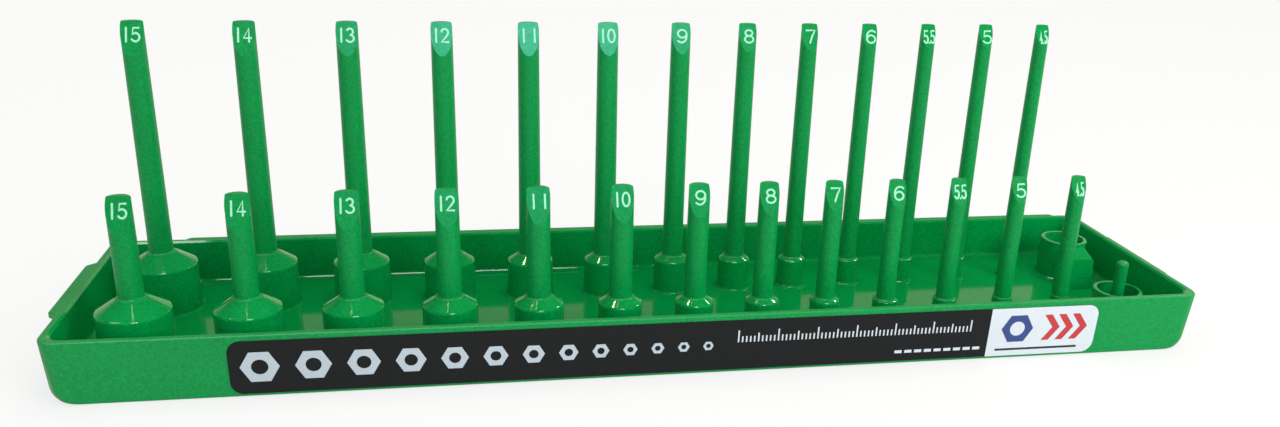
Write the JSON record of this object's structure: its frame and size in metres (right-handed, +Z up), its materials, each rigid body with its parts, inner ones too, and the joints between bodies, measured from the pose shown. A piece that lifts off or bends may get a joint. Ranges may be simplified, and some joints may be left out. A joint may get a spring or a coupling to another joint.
{
  "type": "socket organizer tray",
  "caption": "Open shallow plastic tray with rows of upright posts, tall behind and short in front, that hold metric drive sockets by size, with small cups at one end and a front label.",
  "frame": {"origin": "centre of the tray's rim outline, in the plane of the table that the tray stands on", "axes": "+X along the tray from the largest size to the smallest and the cups, +Y from the labelled front wall to the back wall, +Z up"},
  "size_m": [0.2842, 0.0666, 0.0772],
  "materials": {
    "green_plastic": "injection-moulded green plastic, glossy inside, finely textured outside",
    "label_vinyl": "printed black vinyl label",
    "size_ink": "pale green-white hot-stamped foil of the size numerals"
  },
  "bodies": {
    "root": {"tray": "green_plastic", "deep_post_15": "green_plastic", "deep_post_14": "green_plastic", "deep_post_13": "green_plastic", "deep_post_12": "green_plastic", "deep_post_11": "green_plastic", "deep_post_10": "green_plastic", "deep_post_9": "green_plastic", "deep_post_8": "green_plastic", "deep_post_7": "green_plastic", "deep_post_6": "green_plastic", "deep_post_5_5": "green_plastic", "deep_post_5": "green_plastic", "deep_post_4_5": "green_plastic", "short_post_15": "green_plastic", "short_post_14": "green_plastic", "short_post_13": "green_plastic", "short_post_12": "green_plastic", "short_post_11": "green_plastic", "short_post_10": "green_plastic", "short_post_9": "green_plastic", "short_post_8": "green_plastic", "short_post_7": "green_plastic", "short_post_6": "green_plastic", "short_post_5_5": "green_plastic", "short_post_5": "green_plastic", "short_post_4_5": "green_plastic", "cup_pin": "green_plastic", "front_label": "label_vinyl"}
  },
  "joints": []
}
